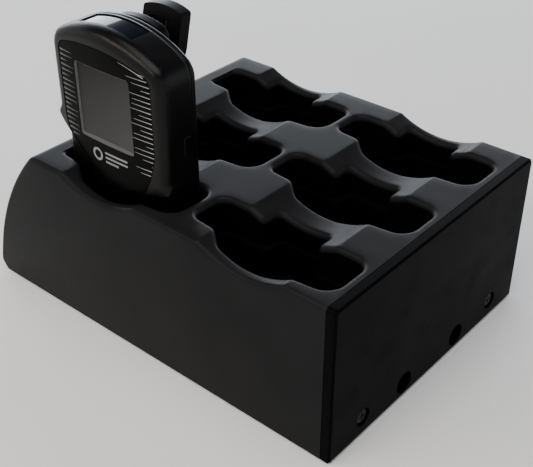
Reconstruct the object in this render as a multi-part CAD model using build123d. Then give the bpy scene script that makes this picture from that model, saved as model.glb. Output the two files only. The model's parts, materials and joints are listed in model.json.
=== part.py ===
"""A six-bay desktop charging base with one handheld messaging unit docked in its front-left bay.

Millimetres. +Z is up, +X runs along the base towards its flat end plate, and -Y is the front.
The origin is the middle of the base's footprint, on the surface it stands on.
"""

import math
import os

from build123d import *

# ---- driving dimensions of the base ----
DECK_W = 170.0  # flat deck, from the bulged end's edge to the end plate's outer face
BULGE = 36.0  # how far the rounded left end stands out past the deck's edge
BASE_D = 144.0
BASE_H = 76.3
WALL = 2.5
FOOT_STAND = 0.8  # how far the feet lift the shell off the table
END_PLATE_T = 4.4
SEAM = 0.3  # the groove between the shell and the end plate
BEAD_R = 2.0  # rounding of the deck's front and rear edges
SCOOP_W = 44.0
SCOOP_DEPTH = 5.4
SCOOP_X = -0.9  # the scoops' middle line, from the bays' own
BAY_FLOOR = 45.0  # height of the floor the handheld stands on
SEAT_TOP = 60.0  # below this the well closes in around the handheld

# ---- driving dimensions of the handheld ----
UNIT_W = 65.0
UNIT_FRONT = -10.7  # its middle front line, from the bay's own centre
UNIT_BACK = 10.5
UNIT_TOP = 144.2
UNIT_BOTTOM = BAY_FLOOR + 0.3
SKIN = 1.8
GAP = 0.05  # half of the gap between two fitted pieces

# ---- places that follow from them ----
LEFT_X = -(DECK_W + BULGE) / 2
RIGHT_X = (DECK_W + BULGE) / 2
DECK_X = LEFT_X + BULGE
FRONT_Y = -BASE_D / 2
REAR_Y = BASE_D / 2
SHELL_RIGHT = RIGHT_X - END_PLATE_T - SEAM
BAY_XS = (DECK_X + 44.2, DECK_X + 124.2)
BAY_YS = (-52.5, -4.2, 44.1)
BAYS = [(x, y) for y in BAY_YS for x in BAY_XS]
DOCK = BAYS[0]  # the bay with the handheld in it

SEAT_HALF_W = 34.6
SEAT_FRONT = -11.1
SEAT_BACK = 10.9
KEY_FRONT = -5.0  # the seat's left lobe is stepped back to here
KEY_X = -23.5
NOTCH_HALF_W = 12.0
NOTCH_BACK = 20.0
WELL_LEFT = -37.5
WELL_RIGHT = 37.1
WELL_BACK = 12.9
WELL_NOTCH = (-15.0, 12.0, 22.4)  # left side, right side and back of the notch in the upper well
CUP_WALL = 1.8
CUP_FLOOR_T = 2.5

PIN_X = 8.0  # charging plungers stand this far each side of the bay's middle
PIN_Y = 2.0
PIN_R = 1.0
PIN_TOP = BAY_FLOOR + 1.7
BOARD_TOP = 36.0
BOARD_T = 1.6
PLATE_Z = 1.6  # underside of the bottom plate
PLATE_T = 2.5

POSTS = [
    (LEFT_X + 22, -52),
    (LEFT_X + 22, 52),
    (DECK_X + 84.2, -28.5),
    (DECK_X + 84.2, 20),
    (DECK_X + 152, -28.4),
    (DECK_X + 152, 20),
]
FEET = [(LEFT_X + 20, -62), (LEFT_X + 20, 62), (RIGHT_X - 16, -62), (RIGHT_X - 16, 62)]
SPACERS = [(DECK_X + x, y) for x in (16, 72, 96, 152) for y in (-50, 46)]
PLATE_SCREWS = [(-50.0, 10.0), (50.0, 10.0)]  # Y and Z on the end plate
LINK_HOLES = [(-20.5, 8.0), (20.5, 8.0)]
LINK_R = 5.25
ACCESS_R = 4.25
INLET_X = RIGHT_X - 22
INLET_Z = 15.0

# ---- handheld places, from the bay's centre line and the table ----
FACE_R = 250.0  # the face is slightly convex from side to side
TOP_R = 57.0  # the top is an arch from side to side
TOP_X = -2.2  # the arch's middle, which is left of the unit's own
COVER_Y = 7.3  # where the rear cover meets the front housing
SEAL_Y = (6.5, 7.85)
FACE_WALL = 2.6  # the front wall is thicker than the rest, to carry the lens
LENS_T = 1.2
LENS_HALF_W = 26.6
LENS_ARCH_R = 78.0
LENS_ARCH_X = -3.3
LENS_TOP = 136.8
LCD_W = 30.6
LCD_Z = (94.4, 128.2)
WINDOW_U = (-19.0, 12.5)
WINDOW_Y = (-4.2, 6.3)
SCREW_U = 26.5
SCREW_ZS = (53.0, 120.0)
KEY_Y = 3.9
KEY_Z = 99.5
HINGE_Y = 17.0
HINGE_Z = 121.0
HINGE_R = 1.1
CLIP_HALF_W = 11.05


def at(x, y, z=0.0):
    return Pos(x, y, z)


def slab(x, y, z):
    """A box given by its ranges along X, Y and Z."""
    middle = [(a + b) / 2 for a, b in (x, y, z)]
    return Pos(*middle) * Box(x[1] - x[0], y[1] - y[0], z[1] - z[0])


def rod(radius, x, y, z0, z1):
    return Pos(x, y, (z0 + z1) / 2) * Cylinder(radius, z1 - z0)


def rod_x(radius, y, z, x0, x1):
    return Pos((x0 + x1) / 2, y, z) * Rot(0, 90, 0) * Cylinder(radius, x1 - x0)


def rod_y(radius, x, z, y0, y1):
    return Pos(x, (y0 + y1) / 2, z) * Rot(90, 0, 0) * Cylinder(radius, y1 - y0)


def prism_x(face, x0, x1):
    """Runs a face drawn in Y and Z along X."""
    return extrude(Plane.YZ.offset(x0) * face, amount=x1 - x0)


def prism_y(face, y0, y1):
    """Runs a face drawn in X and Z along Y."""
    return extrude(Plane.XZ.offset(-y1) * face, amount=y1 - y0)


def prism_z(face, z0, z1):
    return extrude(Plane.XY.offset(z0) * face, amount=z1 - z0)


def outline(points, radii):
    return make_face(FilletPolyline(*points, radius=radii, close=True))


def arch_over(half, top, arch_r, corner_r, right_z, left_z, arch_x=0.0):
    """Edges up the right side, round an arched top with tangent corners, and down the left side."""
    centre_z = top - arch_r
    sides = []
    for side in (1, -1):
        corner_x = side * (half - corner_r)
        across = corner_x - arch_x
        corner_z = centre_z + math.sqrt((arch_r - corner_r) ** 2 - across**2)
        lean = math.atan2(across, corner_z - centre_z)
        tangent = (arch_x + arch_r * math.sin(lean), centre_z + arch_r * math.cos(lean))
        turn = (side * math.pi / 2 + lean) / 2
        middle = (corner_x + corner_r * math.sin(turn), corner_z + corner_r * math.cos(turn))
        sides.append(((side * half, corner_z), middle, tangent))
    (right, right_middle, right_tangent), (left, left_middle, left_tangent) = sides
    return [
        Line((half, right_z), right),
        ThreePointArc(right, right_middle, right_tangent),
        ThreePointArc(right_tangent, (arch_x, top), left_tangent),
        ThreePointArc(left_tangent, left_middle, left),
        Line(left, (-half, left_z)),
    ]


def save(name, shape):
    os.makedirs("parts", exist_ok=True)
    export_step(shape, f"parts/{name}.step")


# ---- base ----


def shell_profile(right, bottom):
    """The base seen from the front: scooped deck, bulged left end, open-ended to the right and below."""
    edges = []
    here = (right, BASE_H)
    for bay_x in reversed(BAY_XS):
        x = bay_x + SCOOP_X
        start, end = (x + SCOOP_W / 2, BASE_H), (x - SCOOP_W / 2, BASE_H)
        edges.append(Line(here, start))
        edges.append(ThreePointArc(start, (x, BASE_H - SCOOP_DEPTH), end))
        here = end
    deck_end, widest = (DECK_X, BASE_H), (LEFT_X, 9.0)
    edges.append(Line(here, deck_end))
    edges.append(ThreePointArc(deck_end, (LEFT_X + 13.6, 45.7), widest))
    edges.append(Line(widest, (LEFT_X, bottom + 4)))
    edges.append(Line((LEFT_X, bottom + 4), (LEFT_X + 4, bottom)))
    edges.append(Line((LEFT_X + 4, bottom), (right, bottom)))
    edges.append(Line((right, bottom), (right, BASE_H)))
    return make_face(edges)


def cavity():
    """The space inside the shell, running out past its right end and its underside."""
    reach = 30.0
    inside = offset(shell_profile(SHELL_RIGHT + reach, -reach), amount=-WALL)
    return prism_y(inside, FRONT_Y + WALL, REAR_Y - WALL)


def seat_outline():
    """The lower well seen from above: a wide slot with a stepped front-left corner and a clip notch behind."""
    points = [
        (-SEAT_HALF_W, KEY_FRONT),
        (KEY_X, KEY_FRONT),
        (KEY_X + 6.5, SEAT_FRONT),
        (SEAT_HALF_W, SEAT_FRONT),
        (SEAT_HALF_W, SEAT_BACK),
        (NOTCH_HALF_W, SEAT_BACK),
        (NOTCH_HALF_W, NOTCH_BACK),
        (-NOTCH_HALF_W, NOTCH_BACK),
        (-NOTCH_HALF_W, SEAT_BACK),
        (-SEAT_HALF_W, SEAT_BACK),
    ]
    return outline(points, [3, 4, 5, 7, 5.5, 2.5, 3, 3, 2.5, 5.5])


def well_outline():
    """The upper well, which stands a few millimetres outside the seat and has a bowed front."""
    notch_left, notch_right, notch_back = WELL_NOTCH
    points = [
        (WELL_LEFT, -5.6),
        (-24.0, -6.9),
        (-16.5, -12.7),
        (6.0, -14.3),
        (WELL_RIGHT, -11.0),
        (WELL_RIGHT, WELL_BACK),
        (notch_right, WELL_BACK),
        (notch_right, notch_back),
        (notch_left, notch_back),
        (notch_left, WELL_BACK),
        (WELL_LEFT, WELL_BACK),
    ]
    return outline(points, [5, 6, 7, 120, 8, 6.5, 2.6, 2.6, 2.6, 2.6, 5.5])


def lies_on_deck_edge(edge, y):
    """True for the deck's own edges in the front or rear wall's plane."""
    box = edge.bounding_box()
    in_plane = abs(box.min.Y - y) < 0.01 and abs(box.max.Y - y) < 0.01
    return in_plane and box.min.Z > BASE_H - SCOOP_DEPTH - 0.1


def base_shell(hollow):
    body = prism_y(shell_profile(SHELL_RIGHT, FOOT_STAND), FRONT_Y, REAR_Y)
    for end in (FRONT_Y, REAR_Y):
        rim = [e for e in body.edges() if lies_on_deck_edge(e, end)]
        body = fillet(rim, BEAD_R)
    body -= hollow
    opening = well_outline()
    for x, y in BAYS:
        body -= at(x, y) * prism_z(opening, BAY_FLOOR, BASE_H + 1)
    for x, y in POSTS:
        post = rod(3.2, x, y, PLATE_Z + PLATE_T, BASE_H) & hollow
        body += post - rod(1.25, x, y, PLATE_Z, PLATE_Z + 14)
    return body - rod_y(5.05, INLET_X, INLET_Z, REAR_Y - WALL - 1, REAR_Y + 1)


def bay_cup(x, y, hollow):
    """A deep well hung under one deck opening, trimmed to the deck's underside."""
    outside = offset(well_outline(), amount=CUP_WALL)
    cup = prism_z(outside, BAY_FLOOR - CUP_FLOOR_T, BASE_H)
    cup -= prism_z(seat_outline(), BAY_FLOOR, BASE_H) + prism_z(well_outline(), SEAT_TOP, BASE_H)
    cup -= slab((-PIN_X - 3, PIN_X + 3), (PIN_Y - 3, PIN_Y + 3), (0, BASE_H))
    cup = at(x, y) * cup & hollow
    for sx, sy in SPACERS:
        cup -= rod(1.3, sx, sy, 0, BAY_FLOOR - 1)
    return cup


def end_plate():
    """The flat right end. Two tongues behind it locate it inside the shell's open end."""
    face = Plane.YZ * Rectangle(BASE_D, BASE_H - FOOT_STAND)
    plate = extrude(Pos(SHELL_RIGHT + SEAM, 0, (BASE_H + FOOT_STAND) / 2) * face, amount=END_PLATE_T)
    plate = fillet(plate.edges().filter_by(Axis.X).sort_by(Axis.Z)[-2:], BEAD_R)
    plate = chamfer(plate.faces().sort_by(Axis.X)[-1].edges(), 0.9)
    inner = SHELL_RIGHT + SEAM
    for side in (-1, 1):
        y0 = side * (BASE_D / 2 - WALL - 0.2)
        y1 = y0 - side * 2
        tongue = slab((inner - 4, inner), (min(y0, y1), max(y0, y1)), (20, 68))
        plate += tongue
    for y, z in LINK_HOLES:
        plate -= rod_x(LINK_R, y, z, inner - 1, RIGHT_X + 1)
    for y, z in PLATE_SCREWS:
        plate -= rod_x(ACCESS_R, y, z, inner + 1.8, RIGHT_X + 1)
        plate -= rod_x(1.7, y, z, inner - 1, RIGHT_X + 1)
    return plate


def screw_x(y, z, head_x, length):
    """A pan-head screw along X with its head's outer face at head_x and a cross recess."""
    head = rod_x(3.0, y, z, head_x - 1.8, head_x)
    shank = rod_x(1.45, y, z, head_x - 1.8 - length, head_x - 1.8)
    cross = slab((head_x - 1, head_x + 1), (y - 2, y + 2), (z - 0.3, z + 0.3))
    cross += slab((head_x - 1, head_x + 1), (y - 0.3, y + 0.3), (z - 2, z + 2))
    return head + shank - cross


def screw_up(x, y, head_z, length, head_r=2.6, shank_r=1.2):
    """A pan-head screw driven upwards, with its head's underside at head_z."""
    head = rod(head_r, x, y, head_z, head_z + 1.6)
    shank = rod(shank_r, x, y, head_z + 1.6, head_z + 1.6 + length)
    cross = slab((x - 1.7, x + 1.7), (y - 0.3, y + 0.3), (head_z - 1, head_z + 0.9))
    cross += slab((x - 0.3, x + 0.3), (y - 1.7, y + 1.7), (head_z - 1, head_z + 0.9))
    return head + shank - cross


def bottom_plate():
    """Closes the underside. Its right edge carries two upright lugs that the end plate's screws bite into."""
    x0, x1 = LEFT_X + 6, SHELL_RIGHT
    half = BASE_D / 2 - WALL - 0.3
    plate = slab((x0, x1), (-half, half), (PLATE_Z, PLATE_Z + PLATE_T))
    for x, y in POSTS:
        plate -= rod(1.5, x, y, 0, 10)
        plate -= rod(2.9, x, y, 0, PLATE_Z + 1.7)
    for x, y in FEET:
        plate -= rod(6.1, x, y, 0, PLATE_Z + 0.8)
    for y, z in PLATE_SCREWS:
        lug = slab((x1 - 9, x1), (y - 5, y + 5), (PLATE_Z, z + 6))
        plate += lug - rod_x(1.5, y, z, x1 - 10, x1 + 1)
    for sx, sy in SPACERS:
        plate += rod(3.0, sx, sy, PLATE_Z + PLATE_T, 12) - rod(1.2, sx, sy, 5, 13)
    return plate


def rubber_feet():
    return Compound([rod(6.0, x, y, 0, PLATE_Z + 0.8) for x, y in FEET])


def main_board():
    """One board under all six bays, cut away around the shell's posts."""
    board = slab((DECK_X + 10, DECK_X + 158), (-66, 66), (BOARD_TOP - BOARD_T, BOARD_TOP))
    for x, y in POSTS:
        board -= rod(4.5, x, y, 0, BASE_H)
    for x, y in SPACERS:
        board -= rod(1.7, x, y, 0, BASE_H)
    return board


def board_spacers():
    """Tubes between the bottom plate's bosses and the board, and between the board and the wells."""
    low = [rod(3.0, x, y, 12, BOARD_TOP - BOARD_T) - rod(1.4, x, y, 0, BASE_H) for x, y in SPACERS]
    top = BAY_FLOOR - CUP_FLOOR_T
    high = [rod(3.0, x, y, BOARD_TOP, top) - rod(1.4, x, y, 0, BASE_H) for x, y in SPACERS]
    return Compound(low + high)


def board_studs():
    """Long studs from the bottom plate up through the board and into the wells' floors."""
    return Compound([rod(1.15, x, y, 5.2, BAY_FLOOR - 1.2) for x, y in SPACERS])


def contact_carrier(x, y):
    """The block that fills the slot in a well's floor and guides its two plungers."""
    block = slab((-PIN_X - 2.9, PIN_X + 2.9), (PIN_Y - 2.9, PIN_Y + 2.9), (BOARD_TOP, BAY_FLOOR))
    for side in (-1, 1):
        block -= rod(PIN_R + GAP, side * PIN_X, PIN_Y, BOARD_TOP, BAY_FLOOR + 1)
        block -= rod(1.9, side * PIN_X, PIN_Y, BOARD_TOP, BAY_FLOOR - 1.2)
    return at(x, y) * block


def bay_pins(x, y):
    """Two sprung plungers with a shoulder that stops them under the carrier's roof."""
    pins = []
    for side in (-1, 1):
        stem = rod(PIN_R, side * PIN_X, PIN_Y, BOARD_TOP + 4, PIN_TOP)
        tip = stem.faces().sort_by(Axis.Z)[-1].edges()
        shoulder = rod(1.75, side * PIN_X, PIN_Y, BAY_FLOOR - 2.4, BAY_FLOOR - 1.3)
        pins.append(at(x, y) * (fillet(tip, 0.6) + shoulder))
    return Compound(pins)


def charge_regulators():
    """The larger parts on the underside of the board, one coil and two chips for each bay."""
    parts = []
    top = BOARD_TOP - BOARD_T
    for x, y in BAYS:
        parts.append(slab((x - 12, x - 4), (y + 2, y + 10), (top - 4.5, top)))
        parts.append(slab((x + 2, x + 7), (y + 3, y + 8), (top - 1.6, top)))
        parts.append(rod(3.1, x + 14, y + 6, top - 9, top))
    return Compound(parts)


def dc_inlet():
    """A round panel socket for a 5.5 mm barrel plug, with its flange behind the wall."""
    y1 = REAR_Y - 0.2
    inner_wall = REAR_Y - WALL
    barrel = rod_y(5.0, INLET_X, INLET_Z, inner_wall - 12, y1)
    barrel += rod_y(6.5, INLET_X, INLET_Z, inner_wall - 12, inner_wall - 1.8)
    barrel -= rod_y(2.8, INLET_X, INLET_Z, y1 - 9, y1 + 1)
    return barrel + rod_y(1.0, INLET_X, INLET_Z, y1 - 9.5, y1 - 1)


def inlet_nut():
    """The hexagonal nut that clamps the socket from inside."""
    inner_wall = REAR_Y - WALL
    nut = prism_y(RegularPolygon(7.6, 6), inner_wall - 1.75, inner_wall - 0.05)
    nut = Pos(INLET_X, 0, INLET_Z) * nut
    return nut - rod_y(5.02, INLET_X, INLET_Z, inner_wall - 3, inner_wall + 1)


# ---- handheld, drawn about the bay's own centre ----


def unit_solid(shrink=0.0):
    """The handheld's outer form, or the same form moved inwards all round by shrink."""
    half = UNIT_W / 2 - shrink
    front, back = UNIT_FRONT + shrink, UNIT_BACK - shrink
    edge_y = front + FACE_R - math.sqrt(FACE_R**2 - half**2)
    plan = make_face(
        [
            ThreePointArc((-half, edge_y), (0, front), (half, edge_y)),
            Line((half, edge_y), (half, back)),
            Line((half, back), (-half, back)),
            Line((-half, back), (-half, edge_y)),
        ]
    )
    plan = fillet(plan.vertices().sort_by(Axis.Y)[:2], 4.5 - shrink)
    plan = fillet(plan.vertices().sort_by(Axis.Y)[-2:], 2.5 - shrink / 2)
    top, bottom = UNIT_TOP - shrink, UNIT_BOTTOM + shrink
    foot = 5.0 - shrink
    elevation = make_face(
        [
            *arch_over(half, top, TOP_R - shrink, 9.0 - shrink, bottom + foot, bottom + foot, TOP_X),
            *FilletPolyline(
                (-half, bottom + foot),
                (-half, bottom),
                (half, bottom),
                (half, bottom + foot),
                radius=[foot * 0.99, foot * 0.99],
            ).edges(),
        ]
    )
    nose = make_face(
        [
            Line((front, bottom), (front, top - 8)),
            ThreePointArc((front, top - 8), (front + 1.7, top - 3.7), (front + 5.6, top - 1.2)),
            Line((front + 5.6, top - 1.2), (back, top)),
            Line((back, top), (back, bottom)),
            Line((back, bottom), (front, bottom)),
        ]
    )
    return prism_z(plan, bottom, top) & prism_y(elevation, front, back) & prism_x(nose, -half, half)


def lower_cut(grow=0.0):
    """The space cut from the front below the raised face, which sweeps up to the left side."""
    points = [(-45, 20), (45, 20), (45, 83.2), (20, 77.6), (-2, 73.2), (-28.5, 94.2), (-34, 99.7), (-45, 99.7)]
    profile = outline(points, [0, 0, 0, 20, 16, 14, 3, 0])
    if grow:
        profile = offset(profile, amount=grow)
    return prism_y(profile, UNIT_FRONT - 5, KEY_FRONT + 0.4 + grow)


def unit_cavity():
    """The space inside the two housings. The front wall is thicker than the rest, to carry the lens."""
    inside = unit_solid(SKIN) - lower_cut(SKIN)
    return inside & slab((-40, 40), (UNIT_FRONT + FACE_WALL, UNIT_BACK), (0, 200))


def lens_outline(grow=0.0):
    """The printed face lens seen from the front: arched top, straight sides and a swept lower edge."""
    w = LENS_HALF_W
    lower = FilletPolyline(
        (-w, 100),
        (-w, 98.5),
        (-25.3, 92.7),
        (-1.8, 74.2),
        (19.9, 78.5),
        (24.0, 86.5),
        (w, 97),
        (w, 100),
        radius=[0.5, 9, 15.2, 1.8, 20, 12],
    )
    face = make_face([*arch_over(w, LENS_TOP, LENS_ARCH_R, 5.0, 100, 100, LENS_ARCH_X), *lower.edges()])
    return offset(face, amount=grow) if grow else face


def face_skin(outline_face, depth):
    """The part of the convex face inside an outline, from the surface down to a depth."""
    column = prism_y(outline_face, UNIT_FRONT - 1, 0)
    form = unit_solid()
    return (column & form) - Pos(0, depth, 0) * form


def display_opening(grow=0.0):
    face = RectangleRounded(LCD_W + 2 * grow, LCD_Z[1] - LCD_Z[0] + 2 * grow, 1.6)
    return prism_y(Pos(0, (LCD_Z[0] + LCD_Z[1]) / 2) * face, UNIT_FRONT - 1, 0)


def window_column(grow=0.0):
    face = Rectangle(WINDOW_U[1] - WINDOW_U[0] + 2 * grow, WINDOW_Y[1] - WINDOW_Y[0] + 2 * grow)
    place = Pos((WINDOW_U[0] + WINDOW_U[1]) / 2, (WINDOW_Y[0] + WINDOW_Y[1]) / 2)
    return prism_z(place * face, 128, 150)


def key_column(grow, x0, x1):
    return slab((x0, x1), (KEY_Y - 2.1 - grow, KEY_Y + 2.1 + grow), (KEY_Z - 4.5 - grow, KEY_Z + 4.5 + grow))


def front_housing():
    """The deep glossy front shell, open at the back."""
    body = (unit_solid() - lower_cut()) & slab((-40, 40), (-20, COVER_Y), (0, 200))
    body -= unit_cavity()
    body -= face_skin(lens_outline(0.12), LENS_T + GAP)
    body -= display_opening(GAP)
    body -= window_column(GAP)
    body -= key_column(GAP, 25, 40)
    for side in (-1, 1):
        for z in SCREW_ZS:
            x = side * SCREW_U
            x0, x1 = sorted((x, side * 31.2))
            boss = rod_y(2.5, x, z, -3, COVER_Y) + slab((x0, x1), (-3, SEAL_Y[0] - 0.2), (z - 1, z + 1))
            body += boss - rod_y(0.98, x, z, 0, COVER_Y + 1)
        body -= rod(1.7, side * PIN_X, PIN_Y, UNIT_BOTTOM - 1, UNIT_BOTTOM + SKIN + 1)
    return body


def rear_housing():
    """The shallow rear cover."""
    body = unit_solid() & slab((-40, 40), (COVER_Y + 0.1, 20), (0, 200))
    body -= unit_cavity()
    for side in (-1, 1):
        for z in SCREW_ZS:
            body -= rod_y(1.1, side * SCREW_U, z, 0, 20)
            body -= rod_y(2.1, side * SCREW_U, z, UNIT_BACK - 1.1, 20)
    return body


def housing_seal():
    """A rubber ring inside the joint between the two housings."""
    ring = unit_solid(SKIN + GAP) - unit_solid(SKIN + 0.8)
    return ring & slab((-40, 40), SEAL_Y, (0, 200))


def face_lens():
    return face_skin(lens_outline(), LENS_T) - display_opening(GAP)


def lcd_glass():
    """The flat display cell, standing in the opening of the lens."""
    front = UNIT_FRONT + 0.55
    return display_opening(-GAP) & slab((-40, 40), (front, UNIT_FRONT + FACE_WALL), (0, 200))


def lcd_module():
    """The display's backing frame and light guide."""
    front = UNIT_FRONT + FACE_WALL
    frame = slab((-18.5, 18.5), (front, front + 3.4), (LCD_Z[0] - 4, LCD_Z[1] + 3))
    return chamfer(frame.edges().filter_by(Axis.Y), 0.8)


def top_window():
    """A smoked window let into the arched top, over the alert lights."""
    skin = unit_solid() - unit_solid(SKIN)
    return window_column() & skin


def circuit_board():
    return slab((-23.5, 23.5), (-1.6, -0.6), (54, 133))


def alert_leds():
    return Compound([slab((u - 1.5, u + 1.5), (-2.2, 0.4), (133, 135.2)) for u in (-12, -5, 2)])


def battery_cell():
    cell = slab((-22, 11), (-0.4, 6.4), (56, 104))
    return fillet(cell.edges().filter_by(Axis.Z), 1.5)


def vibration_motor():
    """A small can motor with a half-round weight on its shaft."""
    can = rod(3.0, 18, 3.0, 58, 69)
    shaft = rod(0.5, 18, 3.0, 69, 74)
    weight = rod(2.6, 18, 3.0, 70, 73.6) & slab((14, 22), (3.0, 8), (69, 75))
    return can + shaft + weight


def sounder():
    disc = rod_y(6.0, 17.5, 86, -0.5, 3.2)
    return disc - rod_y(1.0, 17.5, 86, 2.0, 4)


def antenna_coil():
    """A ferrite bar with a winding in its middle."""
    bar = slab((-21, 21), (2.0, 5.0), (125, 129))
    winding = rod_x(3.0, 3.5, 127, -9, 9)
    return bar + winding


def read_key():
    """A flush key in the right side wall with a flange that keeps it in."""
    cap = key_column(0, 30.0, UNIT_W / 2 + 0.25)
    cap = fillet(cap.faces().sort_by(Axis.X)[-1].edges(), 0.5)
    flange = slab((29.2, 30.3), (KEY_Y - 2.5, KEY_Y + 2.5), (KEY_Z - 5.4, KEY_Z + 5.4))
    return cap + flange


def key_switch():
    """The tact switch behind the key, standing off the circuit board."""
    can = slab((23.8, 27.2), (KEY_Y - 2.4, KEY_Y + 2.4), (KEY_Z - 2.6, KEY_Z + 2.6))
    foot = slab((19.5, 23.8), (-0.6, KEY_Y + 2), (KEY_Z - 2.0, KEY_Z + 2.0))
    return can + foot + rod_x(1.3, KEY_Y, KEY_Z, 27.2, 28.0)


def charge_pads():
    """Two plated pads set up inside the unit's underside, where the plungers reach them."""
    pads = []
    for side in (-1, 1):
        face = rod(1.65, side * PIN_X, PIN_Y, PIN_TOP + 0.1, UNIT_BOTTOM + SKIN)
        collar = rod(2.6, side * PIN_X, PIN_Y, UNIT_BOTTOM + SKIN, UNIT_BOTTOM + SKIN + 0.8)
        pads.append(face + collar)
    return Compound(pads)


def housing_screws():
    screws = []
    for side in (-1, 1):
        for z in SCREW_ZS:
            x = side * SCREW_U
            head = rod_y(2.0, x, z, UNIT_BACK - 1.1, UNIT_BACK - 0.1)
            shank = rod_y(0.95, x, z, 2.5, UNIT_BACK - 1.1)
            cross = slab((x - 1.3, x + 1.3), (UNIT_BACK - 0.6, UNIT_BACK), (z - 0.25, z + 0.25))
            cross += slab((x - 0.25, x + 0.25), (UNIT_BACK - 0.6, UNIT_BACK), (z - 1.3, z + 1.3))
            screws.append(head + shank - cross)
    return Compound(screws)


# ---- belt clip ----


def clip_bracket():
    """The fixed half of the belt clip: a plate on the unit's back, an arched boss and two hinge lugs."""
    foot = Line((-14, 104), (14, 104))
    arch = make_face([*arch_over(14, 144.0, 36.0, 5.0, 104, 104), foot])
    block = prism_y(arch, UNIT_BACK, UNIT_BACK + 4.5)
    block = fillet(block.faces().sort_by(Axis.Y)[-1].edges(), 1.0)
    block -= slab((-15, 15), (UNIT_BACK + 1.8, UNIT_BACK + 6), (100, 130))
    for side in (-1, 1):
        x0, x1 = sorted((side * 5.0, side * 8.0))
        lug = rod_x(2.2, HINGE_Y, HINGE_Z, x0, x1)
        lug += slab((x0, x1), (UNIT_BACK + 1.8, HINGE_Y), (HINGE_Z - 2.2, HINGE_Z + 2.2))
        block += lug
    return block - rod_x(HINGE_R, HINGE_Y, HINGE_Z, -9, 9)


def clip_arm():
    """The sprung half: a bent plate with a thumb end above, a jaw below and two ears on the pin."""
    points = [
        (25.9, 145.5),
        (22.2, 131),
        (19.6, 120),
        (15.0, 98),
        (12.3, 84),
        (11.2, 74),
        (10.9, 69.5),
        (13.0, 69.5),
        (13.6, 74),
        (14.8, 84),
        (17.5, 98),
        (22.8, 117),
        (27.2, 128),
        (31.2, 145.5),
    ]
    radii = [0.5, 20, 30, 40, 30, 10, 0.8, 0.8, 10, 30, 40, 12, 12, 0.5]
    plate = prism_x(outline(points, radii), -CLIP_HALF_W, CLIP_HALF_W)
    jaw = FilletPolyline(
        (-CLIP_HALF_W, 80),
        (-CLIP_HALF_W, 69),
        (CLIP_HALF_W, 69),
        (CLIP_HALF_W, 80),
        radius=[5, 5],
    )
    front = make_face([*arch_over(CLIP_HALF_W, 144.7, 32.0, 1.5, 80, 80), *jaw.edges()])
    plate = plate & prism_y(front, 5, 35)
    plate -= Pos(-2.1, 23.2, 134) * Rot(-14, 0, 0) * Box(10.2, 3.2, 10.5)
    for side in (-1, 1):
        x0, x1 = sorted((side * 8.3, side * (CLIP_HALF_W - 0.5)))
        ear = rod_x(3.3, HINGE_Y, HINGE_Z, x0, x1)
        ear += slab((x0, x1), (HINGE_Y, 20.6), (HINGE_Z - 3.3, HINGE_Z + 3.3))
        plate += ear - rod_x(HINGE_R, HINGE_Y, HINGE_Z, x0 - 1, x1 + 1)
    return plate


def clip_pin():
    return rod_x(HINGE_R - GAP, HINGE_Y, HINGE_Z, -CLIP_HALF_W + 0.6, CLIP_HALF_W - 0.6)


def clip_spring():
    """The torsion spring around the pin, drawn as a tube with its two legs."""
    coil = rod_x(2.2, HINGE_Y, HINGE_Z, -4.6, 4.6) - rod_x(1.3, HINGE_Y, HINGE_Z, -5, 5)
    arm_leg = slab((3.9, 4.6), (18.4, 19.1), (HINGE_Z, HINGE_Z + 9))
    back_leg = slab((-4.6, -3.9), (14.9, 15.6), (HINGE_Z - 10, HINGE_Z))
    return coil + arm_leg + back_leg


HANDHELD = {
    "front_housing": front_housing,
    "rear_housing": rear_housing,
    "housing_seal": housing_seal,
    "face_lens": face_lens,
    "lcd_glass": lcd_glass,
    "lcd_module": lcd_module,
    "top_window": top_window,
    "circuit_board": circuit_board,
    "alert_leds": alert_leds,
    "battery_cell": battery_cell,
    "vibration_motor": vibration_motor,
    "sounder": sounder,
    "antenna_coil": antenna_coil,
    "read_key": read_key,
    "key_switch": key_switch,
    "charge_pads": charge_pads,
    "housing_screws": housing_screws,
    "clip_bracket": clip_bracket,
    "clip_arm": clip_arm,
    "clip_pin": clip_pin,
    "clip_spring": clip_spring,
}


def main():
    hollow = cavity()
    save("base_shell", base_shell(hollow))
    for number, (x, y) in enumerate(BAYS, 1):
        save(f"bay_cup_{number}", bay_cup(x, y, hollow))
        save(f"bay_{number}_pins", bay_pins(x, y))
    save("end_plate", end_plate())
    plate_head = SHELL_RIGHT + SEAM + 3.6
    save("end_plate_screws", Compound([screw_x(y, z, plate_head, 9) for y, z in PLATE_SCREWS]))
    save("bottom_plate", bottom_plate())
    save("bottom_screws", Compound([screw_up(x, y, PLATE_Z + 0.1, 9) for x, y in POSTS]))
    save("rubber_feet", rubber_feet())
    save("main_board", main_board())
    save("board_spacers", board_spacers())
    save("board_studs", board_studs())
    save("contact_carriers", Compound([contact_carrier(x, y) for x, y in BAYS]))
    save("charge_regulators", charge_regulators())
    save("dc_inlet", dc_inlet())
    save("inlet_nut", inlet_nut())
    for name, make in HANDHELD.items():
        save(name, at(*DOCK) * make())


main()
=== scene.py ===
"""Looks of the six-bay charging base with one docked handheld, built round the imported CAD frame.

Lengths are in millimetres, in the frame's own axes. mesh_piece turns them into Blender's metres.
"""

import json
import math

import bmesh
import bpy
import numpy as np
from mathutils import Matrix, Vector
from mathutils.geometry import delaunay_2d_cdt


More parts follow.
